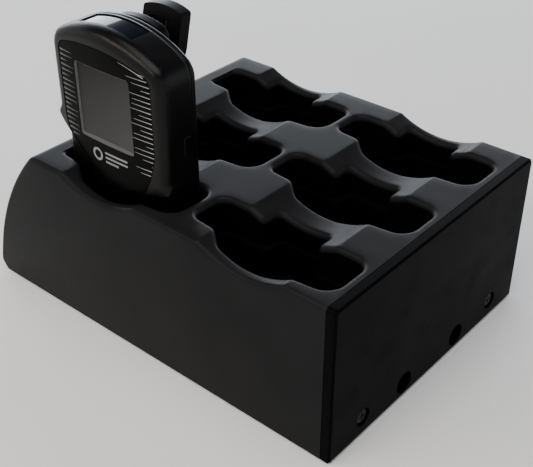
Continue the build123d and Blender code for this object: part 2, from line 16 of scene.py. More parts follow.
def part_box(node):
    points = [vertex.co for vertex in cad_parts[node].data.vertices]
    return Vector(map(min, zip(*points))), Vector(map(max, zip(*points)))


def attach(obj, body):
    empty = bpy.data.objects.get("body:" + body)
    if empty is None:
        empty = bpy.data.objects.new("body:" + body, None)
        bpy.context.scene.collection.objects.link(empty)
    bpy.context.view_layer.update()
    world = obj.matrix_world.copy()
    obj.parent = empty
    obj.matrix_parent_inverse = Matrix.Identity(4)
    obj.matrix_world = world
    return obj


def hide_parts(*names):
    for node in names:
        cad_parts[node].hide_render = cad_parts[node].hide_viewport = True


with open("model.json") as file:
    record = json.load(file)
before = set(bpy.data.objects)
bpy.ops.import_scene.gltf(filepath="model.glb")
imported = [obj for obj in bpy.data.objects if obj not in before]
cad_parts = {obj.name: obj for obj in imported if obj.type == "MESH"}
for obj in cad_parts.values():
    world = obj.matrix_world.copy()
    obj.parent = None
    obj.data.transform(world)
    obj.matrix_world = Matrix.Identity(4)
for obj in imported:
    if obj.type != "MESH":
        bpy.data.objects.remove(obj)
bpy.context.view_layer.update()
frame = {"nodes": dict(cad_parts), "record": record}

MM = 0.001
NODES = frame["nodes"]


def box_mm(node):
    """Lowest and highest corner of a CAD node, in millimetres."""
    low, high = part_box(node)
    return low / MM, high / MM


# ---- places read from the frame ----
SHELL_LOW, SHELL_HIGH = box_mm("base_shell")
LEFT_X, SHELL_RIGHT = SHELL_LOW.x, SHELL_HIGH.x
FRONT_Y, REAR_Y = SHELL_LOW.y, SHELL_HIGH.y
BOTTOM_Z, DECK_Z = SHELL_LOW.z, SHELL_HIGH.z
BULGE = 36.0
DECK_X = LEFT_X + BULGE
WALL = 2.5
CUP_WALL = 1.8
WELL_LEFT, WELL_RIGHT = -37.5, 37.1
WELL_BACK, NOTCH_BACK = 12.9, 22.4
CUPS = [box_mm(f"bay_cup_{number}") for number in range(1, 7)]
BAYS = [(low.x + CUP_WALL - WELL_LEFT, high.y - CUP_WALL - NOTCH_BACK) for low, high in CUPS]
DOCK_X, DOCK_Y = BAYS[0]
SCOOP_X, SCOOP_W, SCOOP_DEPTH = -0.9, 44.0, 5.4
BEAD_R = 2.0
RIM_R = 2.3
CREASE_R = 2.6
INLET_HOLE_R = 5.1
INLET_LOW, INLET_HIGH = box_mm("inlet_nut")
INLET_X = (INLET_LOW.x + INLET_HIGH.x) / 2
INLET_Z = (INLET_LOW.z + INLET_HIGH.z) / 2
FACE_R = 250.0


# ---- mesh helpers ----


def mesh_piece(name, skin, material, body, smooth_angle=32):
    """Makes a smooth-shaded object from a skin in millimetres and lets it ride on a body."""
    mesh = bpy.data.meshes.new(name)
    mesh.from_pydata([tuple(c * MM for c in p) for p in skin.points], [], skin.faces)
    bm = bmesh.new()
    bm.from_mesh(mesh)
    bmesh.ops.remove_doubles(bm, verts=bm.verts, dist=0.002 * MM)
    bmesh.ops.dissolve_degenerate(bm, edges=bm.edges, dist=0.001 * MM)
    limit = math.radians(smooth_angle)
    for face in bm.faces:
        face.smooth = True
    for edge in bm.edges:
        edge.smooth = len(edge.link_faces) == 2 and edge.calc_face_angle(0) < limit
    bm.to_mesh(mesh)
    bm.free()
    mesh.materials.append(material)
    piece = bpy.data.objects.new(name, mesh)
    bpy.context.scene.collection.objects.link(piece)
    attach(piece, body)
    return piece


class Skin:
    """Collects faces patch by patch, each turned to face the way it is asked to."""

    def __init__(self):
        self.points = []
        self.faces = []

    def add(self, corners, facing):
        a, b, c = (Vector(p) for p in corners[:3])
        if len(corners) == 4 and (b - a).cross(c - a).length < 1e-9:
            b, c = Vector(corners[2]), Vector(corners[3])
        if (b - a).cross(c - a).dot(Vector(facing)) < 0:
            corners = corners[::-1]
        start = len(self.points)
        self.points += [tuple(p) for p in corners]
        self.faces.append(tuple(range(start, start + len(corners))))

    def bridge(self, row_a, row_b, facing, closed=False):
        """Quads between two rows of points. facing gives the outward direction at each step."""
        count = len(row_a) if closed else len(row_a) - 1
        for i in range(count):
            j = (i + 1) % len(row_a)
            way = facing[i] if isinstance(facing, list) else facing
            self.add([row_a[i], row_a[j], row_b[j], row_b[i]], way)

    def fill(self, loops, place, facing, spots=()):
        """Triangles inside the first loop and outside the others, lifted by place(u, v)."""
        coords, edges = [], []
        for loop in loops:
            start, count = len(coords), len(loop)
            coords += [Vector(p) for p in loop]
            edges += [(start + i, start + (i + 1) % count) for i in range(count)]
        coords += [Vector(p) for p in spots]
        flat, _, triangles, _, _, _ = delaunay_2d_cdt(coords, edges, [], 0, 1e-5)
        flat = np.array([tuple(v) for v in flat])
        triangles = np.array([t for t in triangles if len(t) == 3])
        middles = flat[triangles].mean(axis=1)
        keep = within(middles, loops[0])
        for hole in loops[1:]:
            keep &= ~within(middles, hole)
        for triangle in triangles[keep]:
            self.add([place(*flat[i]) for i in triangle], facing)


def within(spots, loop):
    """For each spot, whether it lies inside the closed loop."""
    spots, loop = np.asarray(spots), np.asarray(loop)
    inside = np.zeros(len(spots), bool)
    for (x0, y0), (x1, y1) in zip(loop, np.roll(loop, -1, axis=0)):
        crosses = (y0 > spots[:, 1]) != (y1 > spots[:, 1])
        if y0 != y1:
            inside ^= crosses & (spots[:, 0] < (x1 - x0) * (spots[:, 1] - y0) / (y1 - y0) + x0)
    return inside


def clear_of(spots, loop, gap):
    """For each spot, whether it is at least gap from every point of the loop."""
    spots, loop = np.asarray(spots), np.asarray(loop)
    return np.hypot(*(spots[:, None] - loop[None]).transpose(2, 0, 1)).min(axis=1) > gap


def corner_arc(before, corner, after, radius, step_angle=7.0):
    """Points of the arc of that radius that rounds one corner of a polyline."""
    before, corner, after = (np.array(p, float) for p in (before, corner, after))
    to_a = (before - corner) / np.linalg.norm(before - corner)
    to_b = (after - corner) / np.linalg.norm(after - corner)
    opening = math.acos(max(-1.0, min(1.0, float(to_a @ to_b))))
    if radius == 0 or math.pi - opening < 0.02:
        return [tuple(corner)]
    reach = radius / math.tan(opening / 2)
    centre = corner + (to_a + to_b) / np.linalg.norm(to_a + to_b) * radius / math.sin(opening / 2)
    start, end = corner + to_a * reach - centre, corner + to_b * reach - centre
    first = math.atan2(start[1], start[0])
    sweep = (math.atan2(end[1], end[0]) - first + math.pi) % (2 * math.pi) - math.pi
    count = max(2, round(abs(math.degrees(sweep)) / step_angle))
    angles = [first + sweep * i / count for i in range(count + 1)]
    return [(centre[0] + radius * math.cos(a), centre[1] + radius * math.sin(a)) for a in angles]


def stepped(path, step, closed=True):
    """The same line with its long runs cut into even steps."""
    line = []
    ends = path[1:] + path[:1] if closed else path[1:]
    for here, there in zip(path, ends):
        count = max(1, round(math.dist(here, there) / step))
        line += [tuple(a + (b - a) * k / count for a, b in zip(here, there)) for k in range(count)]
    return line if closed else line + [path[-1]]


def rounded_loop(points, radii, step=1.2):
    """A closed outline with rounded corners, with its straight runs cut into short steps."""
    corners = []
    for i, (point, radius) in enumerate(zip(points, radii)):
        corners += corner_arc(points[i - 1], point, points[(i + 1) % len(points)], radius)
    return stepped(corners, step)


def rounded_run(points, radii):
    """An open line with its inner corners rounded."""
    line = [points[0]]
    for before, corner, after, radius in zip(points, points[1:], points[2:], radii):
        line += corner_arc(before, corner, after, radius)
    return line + [points[-1]]


def arch(half, top, arch_r, corner_r, middle, step):
    """Right to left over an arched top, whose middle may be off centre, with tangent corners."""
    centre = top - arch_r
    joints = []
    for side in (1, -1):
        across = side * (half - corner_r) - middle
        up = math.sqrt((arch_r - corner_r) ** 2 - across**2)
        joints.append((side * (half - corner_r), centre + up, math.atan2(up, across)))
    (right_x, right_z, right_turn), (left_x, left_z, left_turn) = joints
    line = []
    for x, z, radius, first, last in (
        (right_x, right_z, corner_r, 0.0, right_turn),
        (middle, centre, arch_r, right_turn, left_turn),
        (left_x, left_z, corner_r, left_turn, math.pi),
    ):
        count = max(3, round(radius * (last - first) / step))
        for i in range(count):
            angle = first + (last - first) * i / count
            line.append((x + radius * math.cos(angle), z + radius * math.sin(angle)))
    return line + [(-half, left_z)]


def normals_of(loop, closed=True):
    """Unit normals on the right-hand side of a polyline, scaled for a true offset at each point."""
    path = np.asarray(loop, float)
    ahead = np.roll(path, -1, axis=0) - path
    if not closed:
        ahead[-1] = ahead[-2]
    ahead /= np.linalg.norm(ahead, axis=1)[:, None]
    behind = np.roll(ahead, 1, axis=0)
    if not closed:
        behind[0] = ahead[0]
    right = np.stack([ahead[:, 1] + behind[:, 1], -ahead[:, 0] - behind[:, 0]], axis=1)
    size = np.linalg.norm(right, axis=1)
    return right / (size * size / 2)[:, None]


# ---- outlines of the base ----


def circle(x, y, radius, count):
    """Points round a circle, with the direction from each to its middle."""
    turns = [math.tau * i / count for i in range(count)]
    ring = [(x + radius * math.cos(a), y + radius * math.sin(a)) for a in turns]
    return ring, [(-math.cos(a), -math.sin(a)) for a in turns]


def circle_through(a, b, c):
    """Centre and radius of the circle through three points."""
    (ax, ay), (bx, by), (cx, cy) = a, b, c
    d = 2 * (ax * (by - cy) + bx * (cy - ay) + cx * (ay - by))
    sa, sb, sc = ax * ax + ay * ay, bx * bx + by * by, cx * cx + cy * cy
    x = (sa * (by - cy) + sb * (cy - ay) + sc * (ay - by)) / d
    y = (sa * (cx - bx) + sb * (ax - cx) + sc * (bx - ax)) / d
    return (x, y), math.dist((x, y), a)


def shell_profile():
    """The shell's outer line in X and Z, from its right end over the deck and down the bulge."""
    scoop_r = (SCOOP_W**2 / 4 + SCOOP_DEPTH**2) / (2 * SCOOP_DEPTH)
    edge_angle = math.asin(SCOOP_W / 2 / scoop_r)
    line = [(SHELL_RIGHT, DECK_Z)]
    creases = {}
    for x in sorted({round(bay[0], 3) for bay in BAYS}, reverse=True):
        x += SCOOP_X
        run_from = line[-1][0]
        run_to = x + SCOOP_W / 2
        count = round((run_from - run_to) / 4)
        line += [(run_from + (run_to - run_from) * i / count, DECK_Z) for i in range(1, count)]
        creases[len(line)] = CREASE_R
        for i in range(37):
            angle = edge_angle * (1 - i / 18)
            rise = scoop_r * (1 - math.cos(angle))
            line.append((x + scoop_r * math.sin(angle), DECK_Z - SCOOP_DEPTH + rise))
        creases[len(line) - 1] = CREASE_R
    run_from = line[-1][0]
    line += [(run_from + (DECK_X - run_from) * i / 6, DECK_Z) for i in range(1, 6)]
    creases[len(line)] = 5.0
    start, middle, end = (DECK_X, DECK_Z), (LEFT_X + 13.6, 45.7), (LEFT_X, 9.0)
    centre, radius = circle_through(start, middle, end)
    first = math.atan2(start[1] - centre[1], start[0] - centre[0])
    last = math.atan2(end[1] - centre[1], end[0] - centre[0]) % (2 * math.pi)
    bulge = [first + (last - first) * i / 26 for i in range(27)]
    line += [(centre[0] + radius * math.cos(a), centre[1] + radius * math.sin(a)) for a in bulge]
    creases[len(line) - 1] = 4.0
    line.append((LEFT_X, BOTTOM_Z + 4))
    creases[len(line) - 1] = 3.0
    line.append((LEFT_X + 4, BOTTOM_Z))
    soft = []
    for i, point in enumerate(line):
        if i in creases:
            soft += corner_arc(line[i - 1], point, line[i + 1], creases[i], 4.5)
        else:
            soft.append(point)
    return soft


def bay_outline():
    """One upper well's inside wall seen from above, about the bay's own centre, anticlockwise."""
    points = [
        (WELL_LEFT, -5.6),
        (-24.0, -6.9),
        (-16.5, -12.7),
        (6.0, -14.3),
        (WELL_RIGHT, -11.0),
        (WELL_RIGHT, WELL_BACK),
        (12.0, WELL_BACK),
        (12.0, NOTCH_BACK),
        (-15.0, NOTCH_BACK),
        (-15.0, WELL_BACK),
        (WELL_LEFT, WELL_BACK),
    ]
    return rounded_loop(points, [5, 6, 7, 120, 8, 6.5, 2.6, 2.6, 2.6, 2.6, 5.5])


# ---- the shell ----


def deck_columns(profile):
    """The profile's points that lie on the deck, left to right, as X and Z."""
    deck = [p for p in profile if p[0] > DECK_X + 4.0]
    return np.array(sorted(deck))


def add_sheet(skin, columns, y0, y1, loops, facing, rows=4.0):
    """A deck-shaped sheet between two Y values, with a hole for each loop."""
    def place(u, v):
        return (u, v, float(np.interp(u, columns[:, 0], columns[:, 1])))

    count = round((y1 - y0) / rows)
    side = [y0 + (y1 - y0) * i / count for i in range(count + 1)]
    xs = list(columns[:, 0])
    border = [(x, y0) for x in xs] + [(xs[-1], y) for y in side[1:-1]]
    border += [(x, y1) for x in reversed(xs)] + [(xs[0], y) for y in side[-2:0:-1]]
    spots = np.array([(x, y) for x in xs[1:-1] for y in side[1:-1]])
    for loop in loops:
        spots = spots[~within(spots, loop)]
        spots = spots[clear_of(spots, loop, 0.9)]
    skin.fill([border, *loops], place, facing, [tuple(s) for s in spots])
    return side


def add_rim(skin, loop, x, y, columns, under):
    """The quarter-round lip of one bay, from the deck down to the shell's underside."""
    ring = np.array(loop) + (x, y)
    out = normals_of(loop)
    rows = []
    for k in range(8):
        angle = math.pi / 2 * k / 7
        line = ring + out * RIM_R * (1 - math.sin(angle))
        height = np.interp(line[:, 0], columns[:, 0], columns[:, 1]) - RIM_R * (1 - math.cos(angle))
        rows.append([(a, b, c) for (a, b), c in zip(line, height)])
    floor = np.interp(ring[:, 0], under[:, 0], under[:, 1])
    rows.append([(a, b, c) for (a, b), c in zip(ring, floor)])
    ways = [(-n[0], -n[1], 0.8) for n in out]
    for upper, lower in zip(rows, rows[1:]):
        skin.bridge(upper, lower, ways, closed=True)
    return [(p[0], p[1]) for p in rows[0]], [(p[0], p[1]) for p in rows[-1]]


def bead_radius(z):
    """The front and rear edges' rounding, which fades out at the foot of the bulged end."""
    return BEAD_R * min(1.0, max(0.0, (z - BOTTOM_Z) / 9.0))


def add_bead(skin, profile, y, inward):
    """The rounded edge between the profile and the wall at y. Returns the wall's own top line."""
    out = normals_of(profile, closed=False)
    radius = np.array([bead_radius(z) for _, z in profile])
    path = np.array(profile)
    rows = []
    for k in range(7):
        angle = math.pi / 2 * k / 6
        line = path - out * (radius * (1 - math.cos(angle)))[:, None]
        depth = y + inward * radius * (1 - math.sin(angle))
        rows.append([(a, c, b) for (a, b), c in zip(line, depth)])
    ways = [(n[0], -inward, n[1]) for n in out]
    for upper, lower in zip(rows, rows[1:]):
        skin.bridge(upper, lower, ways)
    return [(p[0], p[2]) for p in rows[-1]]


def shell_skin(material):
    skin = Skin()
    profile = shell_profile()
    inner = np.array(profile) - normals_of(profile, closed=False) * WALL
    inner = [tuple(p) for p in inner] + [(LEFT_X + 5.8, BOTTOM_Z)]
    columns = deck_columns(profile)
    under = deck_columns(inner)
    left = [p for p in profile if p[0] <= columns[0][0] + 1e-6]
    left_inner = [p for p in inner if p[0] <= under[0][0] + 1e-6]

    outline = bay_outline()
    tops, bottoms = zip(*[add_rim(skin, outline, x, y, columns, under) for x, y in BAYS])
    y0, y1 = FRONT_Y + BEAD_R, REAR_Y - BEAD_R
    side = add_sheet(skin, columns, y0, y1, tops, (0, 0, 1))
    inner_side = add_sheet(skin, under, FRONT_Y + WALL, REAR_Y - WALL, bottoms, (0, 0, -1))

    for line, ys, sign in ((left, side, 1), (left_inner, inner_side, -1)):
        ways = [(n[0] * sign, 0, n[1] * sign) for n in normals_of(line, closed=False)]
        for a, b in zip(ys, ys[1:]):
            skin.bridge([(x, a, z) for x, z in line], [(x, b, z) for x, z in line], ways)
    for y, inward in ((FRONT_Y, 1), (REAR_Y, -1)):
        wall = add_bead(skin, profile, y, inward) + [(SHELL_RIGHT, BOTTOM_Z)]
        inner_wall = inner + [(SHELL_RIGHT, BOTTOM_Z)]
        hole = []
        if inward < 0:
            ring, middle = circle(INLET_X, INLET_Z, INLET_HOLE_R, 48)
            hole = [ring]
            depths = (y, y + inward * WALL)
            outer_ring, inner_ring = ([(x, depth, z) for x, z in ring] for depth in depths)
            skin.bridge(outer_ring, inner_ring, [(x, 0, z) for x, z in middle], closed=True)
        skin.fill([wall, *hole], lambda u, v, y=y: (u, y, v), (0, -inward, 0))
        skin.fill([inner_wall, *hole], lambda u, v, y=y, i=inward: (u, y + i * WALL, v), (0, inward, 0))
    add_lips(skin, side)
    piece = mesh_piece("base_shell_skin", skin, material, "base")
    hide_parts("base_shell")


def add_lips(skin, side):
    """The shell's end faces: the U at its open right end and the frame round its underside."""
    arc = [math.pi / 2 * k / 6 for k in range(7)]
    top = [(FRONT_Y + BEAD_R * (1 - math.cos(a)), DECK_Z - BEAD_R * (1 - math.sin(a))) for a in arc]
    back = [(-y + FRONT_Y + REAR_Y, z) for y, z in reversed(top)]
    middle = [(y, DECK_Z) for y in side[1:-1]]
    inside = [(REAR_Y - WALL, BOTTOM_Z), (REAR_Y - WALL, DECK_Z - WALL)]
    inside += [(FRONT_Y + WALL, DECK_Z - WALL), (FRONT_Y + WALL, BOTTOM_Z)]
    loop = [(FRONT_Y, BOTTOM_Z), *top, *middle, *back, (REAR_Y, BOTTOM_Z), *inside]
    skin.fill([loop], lambda u, v: (SHELL_RIGHT, u, v), (1, 0, 0))
    foot = [(SHELL_RIGHT, FRONT_Y), (LEFT_X + 4, FRONT_Y), (LEFT_X + 4, REAR_Y), (SHELL_RIGHT, REAR_Y)]
    hole = [(SHELL_RIGHT, REAR_Y - WALL), (LEFT_X + 5.8, REAR_Y - WALL)]
    hole += [(LEFT_X + 5.8, FRONT_Y + WALL), (SHELL_RIGHT, FRONT_Y + WALL)]
    skin.fill([foot + hole], lambda u, v: (u, v, BOTTOM_Z), (0, 0, -1))


# ---- materials ----


def add_node(tree, kind, constants=None, links=None):
    """Adds a node, sets its constant inputs and links sockets into its other inputs."""
    node = tree.nodes.new(f"ShaderNode{kind}")
    set_inputs(node, constants or {})
    for name, socket in (links or {}).items():
        tree.links.new(socket, node.inputs[name])
    return node


def set_inputs(node, constants):
    for name, value in constants.items():
        node.inputs[name].default_value = value


def new_material(name):
    material = bpy.data.materials.new(name)
    material.use_nodes = True
    tree = material.node_tree
    tree.nodes.clear()
    shader = add_node(tree, "BsdfPrincipled")
    add_node(tree, "OutputMaterial", links={"Surface": shader.outputs["BSDF"]})
    return material, tree, shader


def noise(tree, scale, detail=3.0, rough=0.55, stretch=None):
    """A noise texture in the object's own space. scale is in features per metre."""
    place = add_node(tree, "TexCoord").outputs["Object"]
    if stretch:
        place = add_node(tree, "Mapping", {"Scale": stretch}, {"Vector": place}).outputs["Vector"]
    shape = {"Scale": scale, "Detail": detail, "Roughness": rough}
    return add_node(tree, "TexNoise", shape, {"Vector": place}).outputs["Fac"]


def spread(tree, value, low, high, start=0.3, end=0.7):
    """Maps a noise value onto a range."""
    limits = {"From Min": start, "From Max": end, "To Min": low, "To Max": high}
    return add_node(tree, "MapRange", limits, {"Value": value}).outputs["Result"]


def blend_colors(tree, factor, first, second):
    """Mixes two colours, each a tuple or a socket, by a factor socket."""
    node = tree.nodes.new("ShaderNodeMix")
    node.data_type = "RGBA"
    tree.links.new(factor, node.inputs["Factor"])
    for socket, value in ((node.inputs["A"], first), (node.inputs["B"], second)):
        if isinstance(value, tuple):
            socket.default_value = (*value, 1.0)
        else:
            tree.links.new(value, socket)
    return node.outputs["Result"]


def relief(tree, shader, layers):
    """Chains bump layers, each (height socket, strength, depth in mm), into the shader's normal."""
    normal = None
    for height, strength, depth in layers:
        bump = add_node(tree, "Bump", {"Strength": strength, "Distance": depth * MM}, {"Height": height})
        if normal:
            tree.links.new(normal, bump.inputs["Normal"])
        normal = bump.outputs["Normal"]
    tree.links.new(normal, shader.inputs["Normal"])


def moulded(name, color, rough, grain=0.35, grain_depth=0.02, coat=0.0, dust=0.0, specular=0.5):
    """Moulded plastic: fine spark grain, drifting gloss, faint handling marks and a little dust."""
    material, tree, shader = new_material(name)
    gleam = {"IOR": 1.5, "Specular IOR Level": specular, "Coat Weight": coat, "Coat Roughness": 0.12}
    set_inputs(shader, gleam)
    patches = noise(tree, 38, 4)
    scuffs = noise(tree, 260, 6, 0.7, (1.0, 0.25, 0.4))
    tone = blend_colors(tree, spread(tree, patches, 0, 1), color, tuple(c * 1.35 + 0.001 for c in color))
    if dust:
        specks = spread(tree, noise(tree, 1500, 2, 0.6), 0, dust, 0.66, 0.74)
        tone = blend_colors(tree, specks, tone, (0.35, 0.34, 0.33))
    tree.links.new(tone, shader.inputs["Base Color"])
    gloss = add_node(tree, "Math")
    gloss.operation = "ADD"
    tree.links.new(spread(tree, patches, rough - 0.05, rough + 0.05), gloss.inputs[0])
    tree.links.new(spread(tree, scuffs, 0.0, 0.09, 0.5, 0.72), gloss.inputs[1])
    tree.links.new(gloss.outputs["Value"], shader.inputs["Roughness"])
    relief(tree, shader, [(noise(tree, 1 / (grain * MM), 2), 0.5, grain_depth), (patches, 0.15, 0.05)])
    return material


def metal(name, color, rough, brushed=(1.0, 1.0, 1.0)):
    """Plated metal with fine brushing and a few dull patches."""
    material, tree, shader = new_material(name)
    set_inputs(shader, {"Metallic": 1.0})
    lines = noise(tree, 2200, 3, 0.6, brushed)
    patches = noise(tree, 300, 3)
    tone = blend_colors(tree, spread(tree, patches, 0, 1), color, tuple(c * 0.72 for c in color))
    tree.links.new(tone, shader.inputs["Base Color"])
    tree.links.new(spread(tree, patches, rough - 0.06, rough + 0.1), shader.inputs["Roughness"])
    relief(tree, shader, [(lines, 0.4, 0.008)])
    return material


def display_glass():
    """A pale reflective display that is off, with a faint cell grid and painted shade that darkens it towards
    the upper left.
    """
    material, tree, shader = new_material("display_panel")
    set_inputs(shader, {"Specular IOR Level": 0.11})
    parts = add_node(tree, "SeparateXYZ", links={"Vector": add_node(tree, "TexCoord").outputs["Object"]})
    low, high = box_mm("lcd_glass")
    # Painted shade: the colour runs from near black at the display's upper left to pale grey at its lower
    # right.
    slant = 0.9
    painted_shade_slant = add_node(tree, "Math")
    painted_shade_slant.operation = "MULTIPLY_ADD"
    tree.links.new(parts.outputs["X"], painted_shade_slant.inputs[0])
    painted_shade_slant.inputs[1].default_value = -slant
    tree.links.new(parts.outputs["Z"], painted_shade_slant.inputs[2])
    darkest, palest = (high.z - slant * low.x) * MM, (low.z - slant * high.x) * MM
    shade = spread(tree, painted_shade_slant.outputs["Value"], 1, 0, palest, darkest)
    tone = blend_colors(tree, shade, (0.0015, 0.0015, 0.0018), (0.052, 0.052, 0.0515))
    grain = spread(tree, noise(tree, 5200, 2), 0.0, 0.25)
    tree.links.new(blend_colors(tree, grain, tone, (0.024, 0.024, 0.026)), shader.inputs["Base Color"])
    tree.links.new(spread(tree, noise(tree, 90, 3), 0.30, 0.42), shader.inputs["Roughness"])
    relief(tree, shader, [(noise(tree, 5200, 2), 0.12, 0.01)])
    return material


def smoked_glass():
    """Polished, deep blue-black window plastic with hair scratches."""
    material, tree, shader = new_material("smoked_window_glass")
    set_inputs(shader, {"IOR": 1.5, "Specular IOR Level": 0.3})
    depth = spread(tree, noise(tree, 70, 2), 0, 1)
    tone = blend_colors(tree, depth, (0.0006, 0.0009, 0.003), (0.001, 0.0018, 0.006))
    tree.links.new(tone, shader.inputs["Base Color"])
    scratches = noise(tree, 800, 5, 0.7, (0.1, 1, 1))
    tree.links.new(spread(tree, scratches, 0.05, 0.14, 0.45, 0.75), shader.inputs["Roughness"])
    relief(tree, shader, [(noise(tree, 60, 2), 0.05, 0.05)])
    return material


def make_materials():
    """One material for each slot of the record, and a few for details within a slot."""
    black = (0.0075, 0.0075, 0.0079)
    return {
        "base_plastic": moulded("base_satin", black, 0.38, 0.34, 0.05, dust=0.02, specular=0.054),
        "end_plate": moulded("end_plate_satin", (0.0006, 0.0006, 0.0007), 0.42, 0.34, 0.04, specular=0.02),
        # The wells are coloured far darker than the shell, as painted shade in the deep pockets.
        "well_plastic": moulded("well_matte_painted_shade", (0.0004, 0.0004, 0.0005), 0.66, 0.5, 0.02, specular=0.04),
        "gloss_housing": moulded("housing_gloss", (0.0010, 0.0009, 0.0009), 0.31, 0.36, 0.09, specular=0.17),
        "printed_lens": moulded("lens_print_black", (0.0012, 0.0012, 0.0012), 0.32, 0.3, 0.006, specular=0.032),
        "display": display_glass(),
        "smoked_window": smoked_glass(),
        "clip_plastic": moulded("clip_satin", (0.0008, 0.0008, 0.0009), 0.38, 0.4, 0.015, specular=0.10),
        "rubber": moulded("foot_rubber", (0.012, 0.012, 0.012), 0.8, 0.6, 0.03, specular=0.3),
        "dark_steel": metal("blackened_steel", (0.012, 0.012, 0.013), 0.42, (1.0, 0.1, 1.0)),
        "bronze_steel": metal("bronzed_leaf", (0.16, 0.12, 0.09), 0.38, (1.0, 1.0, 0.1)),
        "liner": moulded("display_liner_grey", (0.060, 0.060, 0.060), 0.5, 0.4, 0.01, specular=0.2),
        "steel": metal("plated_steel", (0.55, 0.55, 0.56), 0.32, (1.0, 0.1, 1.0)),
        "gold": metal("gold_plate", (0.86, 0.62, 0.25), 0.2),
        "board": moulded("solder_mask", (0.004, 0.055, 0.02), 0.35, 0.8, 0.01, coat=0.4),
        "components": moulded("chip_package", (0.014, 0.014, 0.015), 0.55, 0.3, 0.02),
        "nylon": moulded("black_nylon", (0.010, 0.010, 0.011), 0.5, 0.4, 0.02),
        "led": moulded("led_lens", (0.55, 0.55, 0.50), 0.2, 0.8, 0.01, coat=0.8),
        "foil": metal("cell_wrap", (0.7, 0.7, 0.72), 0.4),
        "ferrite": moulded("ferrite_bar", (0.03, 0.028, 0.026), 0.6, 0.4, 0.03),
        "print": moulded("silver_print", (0.23, 0.24, 0.24), 0.36, 0.2, 0.004),
        "mark": moulded("grey_print", (0.16, 0.165, 0.165), 0.36, 0.2, 0.004),
        # A darker copy of the silver print, as painted shade on the lens's left stripes.
        "print_painted_shade": moulded("silver_print_shaded", (0.045, 0.047, 0.047), 0.4, 0.2, 0.004),
    }


def dress_nodes(materials):
    """Gives every carried-over CAD node the material of its slot in the record."""
    own = {"end_plate_screws": "dark_steel", "end_plate": "end_plate"}
    for part in frame["record"]["subparts"]:
        paint = own.get(part["node"], part["material_slot"])
        for slot in NODES[part["node"]].material_slots:
            slot.material = materials[paint]


# ---- the handheld's housings ----

UNIT_HALF, UNIT_TOP, UNIT_FOOT = 32.5, 144.2, 45.3
UNIT_FRONT, JOINT_Y, UNIT_BACK = -10.7, 7.3, 10.5
TOP_R, TOP_X = 57.0, -2.2
CORNER_R, FOOT_R = 9.0, 5.0
OUTLINE_STEP = 1.2
LENS_HALF, LENS_TOP, LENS_ARCH_R, LENS_ARCH_X = 26.6, 136.8, 78.0, -3.3
WINDOW_U, WINDOW_Y = (-19.0, 12.5), (-4.0, 6.2)
LENS_SINK, LIP_R = 0.25, 0.25
LENS_FLOOR = 2.0
LCD_U, LCD_Z = (-17.2, 15.3), (93.9, 127.8)
LCD_SINK = 1.75
SCREWS = [(u, z) for u in (-26.5, 26.5) for z in (53.0, 120.0)]
KEY_Y, KEY_Z = (1.75, 6.05), (94.95, 104.05)
KEY_REST_X, KEY_BACK_X = 30.7, 28.2
SCREW_WELL_R, SCREW_WELL_DEPTH = 2.1, 1.1
PADS = [(-8.0, 2.0), (8.0, 2.0)]
PAD_WELL_R, PAD_WELL_DEPTH = 1.7, 1.75


def eased(value, start, end):
    """0 before start, 1 after end and smooth in between."""
    t = min(1.0, max(0.0, (value - start) / (end - start)))
    return t * t * (3 - 2 * t)


def face_y(u):
    """Y of the handheld's convex face at a distance u from its middle line."""
    return DOCK_Y + UNIT_FRONT + FACE_R - math.sqrt(FACE_R**2 - u * u)


def on_face(depth):
    """Places (u, z) at a depth behind the convex face."""
    return lambda u, z: (DOCK_X + u, face_y(u) + depth, z)


def on_plane(y):
    """Places (u, z) on an upright plane y behind the unit's middle line."""
    return lambda u, z: (DOCK_X + u, DOCK_Y + y, z)


def spans(limits, value):
    return limits[0] - 1e-6 <= value <= limits[1] + 1e-6


def ring_on(place):
    """The same place as a step of add_sides."""
    return lambda i, u, z: place(u, z)


def unit_loop(row):
    """A row of points as (u, z) about the unit's middle line."""
    return [(p[0] - DOCK_X, p[2]) for p in row]


def grid_rim(us, vs):
    """The points round the edge of a grid, once round."""
    rim = [(u, vs[0]) for u in us] + [(us[-1], v) for v in vs[1:]]
    return rim + [(u, vs[-1]) for u in us[-2::-1]] + [(us[0], v) for v in vs[-2:0:-1]]


def under_top(u, drop):
    """X offset and Z of the point that lies drop below the arched top at u."""
    centre = UNIT_TOP - TOP_R
    lean = math.asin((u - TOP_X) / TOP_R)
    return TOP_X + (TOP_R - drop) * math.sin(lean), centre + (TOP_R - drop) * math.cos(lean)


def under_top_point(u, y, drop):
    """The same point in the frame, at a depth y behind the unit's middle line."""
    x, z = under_top(u, drop)
    return (DOCK_X + x, DOCK_Y + y, z)


def block_outline():
    """The raised block seen from the front: arched top and a foot that sweeps up to the left."""
    top = arch(UNIT_HALF, UNIT_TOP, TOP_R, CORNER_R, TOP_X, OUTLINE_STEP)
    line = []
    for (u, z), (next_u, next_z) in zip(top, top[1:]):
        line.append((u, z))
        line += [under_top(cut, 0) for cut in WINDOW_U if next_u < cut < u - 1e-6]
    foot = [(-32.5, top[-1][1]), (-32.5, 98.2), (-28.5, 94.2), (-2, 73.2), (20, 77.6), (32.5, 80.4)]
    foot += [(32.5, z) for z in KEY_Z] + [top[0]]
    return line + stepped(rounded_run(foot, [4, 14, 16, 20, 1.6, 0, 0]), OUTLINE_STEP, closed=False)[:-1]


def shoulder_radius(u, z):
    """The front shoulder: full round on top and sides, a small edge round the swept foot."""
    full = 4.4 + 1.0 * eased(26 - abs(u), 0, 12) * eased(z, 120, 126)
    low = 81.2 if u > 0 else 98.8
    return 1.0 + (full - 1.0) * eased(z, low, low + 4.5)


